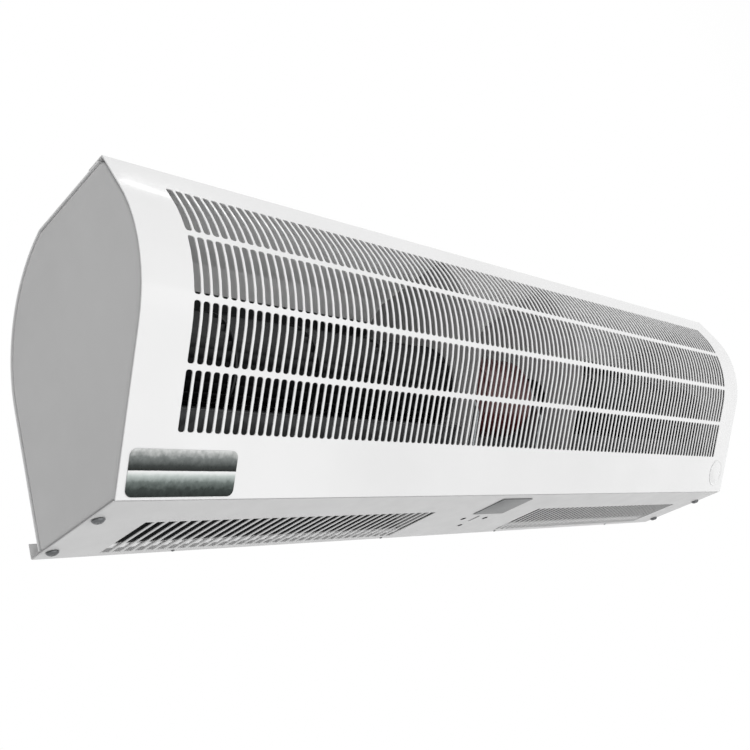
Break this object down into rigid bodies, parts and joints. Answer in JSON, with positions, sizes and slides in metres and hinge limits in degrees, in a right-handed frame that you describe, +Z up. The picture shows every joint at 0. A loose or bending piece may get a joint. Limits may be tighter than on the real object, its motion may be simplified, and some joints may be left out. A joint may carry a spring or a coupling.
{
  "type": "air curtain",
  "caption": "Wall-mounted cross-flow air curtain with a slotted curved front, slotted outlets underneath, a central motor, two long fan wheels and two push buttons.",
  "frame": {"origin": "on the building's wall, at the middle of the mounting rail's face", "axes": "+X along the length, to the right as seen from the room; +Y into the wall; +Z up"},
  "size_m": [0.9, 0.1974, 0.222],
  "materials": {
    "gloss_white": "gloss white powder coat",
    "side_grey": "satin light grey paint",
    "plate_grey": "satin light grey paint",
    "zinc_steel": "galvanised sheet",
    "black_sheet": "matt black",
    "wheel_black": "moulded, matt",
    "motor_red": "dark red enamel",
    "steel": "ground steel",
    "dark_steel": "blackened screws",
    "rubber_black": "matt rubber",
    "plastic_white": "moulded, satin",
    "plastic_black": "moulded, gloss",
    "board_green": "circuit board",
    "silver_film": "silver film, dark bands",
    "plate_film": "grey film"
  },
  "bodies": {
    "housing": {"front_grille_panel": "gloss_white", "left_side_plate": "side_grey", "right_side_plate": "side_grey", "rear_shell": "plate_grey", "bottom_outlet_plate": "plate_grey", "mounting_rail": "zinc_steel", "left_partition": "zinc_steel", "right_partition": "zinc_steel", "left_rear_guide": "black_sheet", "right_rear_guide": "black_sheet", "left_front_tongue": "zinc_steel", "right_front_tongue": "zinc_steel", "left_end_bush": "rubber_black", "right_end_bush": "rubber_black", "left_bush_seat": "zinc_steel", "right_bush_seat": "zinc_steel", "motor_stator": "motor_red", "left_motor_bell": "motor_red", "right_motor_bell": "motor_red", "left_motor_ring": "rubber_black", "right_motor_ring": "rubber_black", "left_motor_bracket": "zinc_steel", "right_motor_bracket": "zinc_steel", "control_board": "board_green", "left_tact_switch": "plastic_black", "right_tact_switch": "plastic_black", "receiver_window": "plastic_black", "status_lamp": "plastic_black", "run_capacitor": "plastic_white", "terminal_block": "plastic_white", "cable_grommet": "rubber_black", "left_front_screw": "dark_steel", "right_front_screw": "dark_steel", "left_rear_screw": "dark_steel", "right_rear_screw": "dark_steel", "front_sticker": "silver_film", "round_badge": "gloss_white", "rating_plate": "plate_film"},
    "rotor": {"motor_shaft": "steel", "left_impeller": "wheel_black", "right_impeller": "wheel_black", "left_stub_shaft": "steel", "right_stub_shaft": "steel", "left_shaft_hub": "rubber_black", "right_shaft_hub": "rubber_black"},
    "left_button_cap": {"left_button": "plastic_black"},
    "right_button_cap": {"right_button": "plastic_black"}
  },
  "joints": [
    {"name": "fan_spin", "type": "hinge", "parent": "housing", "child": "rotor", "pos_m": [0, -0.101, 0.04], "axis": [1, 0, 0], "continuous": true},
    {"name": "left_button_press", "type": "slide", "parent": "housing", "child": "left_button_cap", "axis": [0, 0, 1], "range_m": [0, 0.0015], "stiffness_N_per_m": 300, "springref_m": -0.001},
    {"name": "right_button_press", "type": "slide", "parent": "housing", "child": "right_button_cap", "axis": [0, 0, 1], "range_m": [0, 0.0015], "stiffness_N_per_m": 300, "springref_m": -0.001}
  ]
}
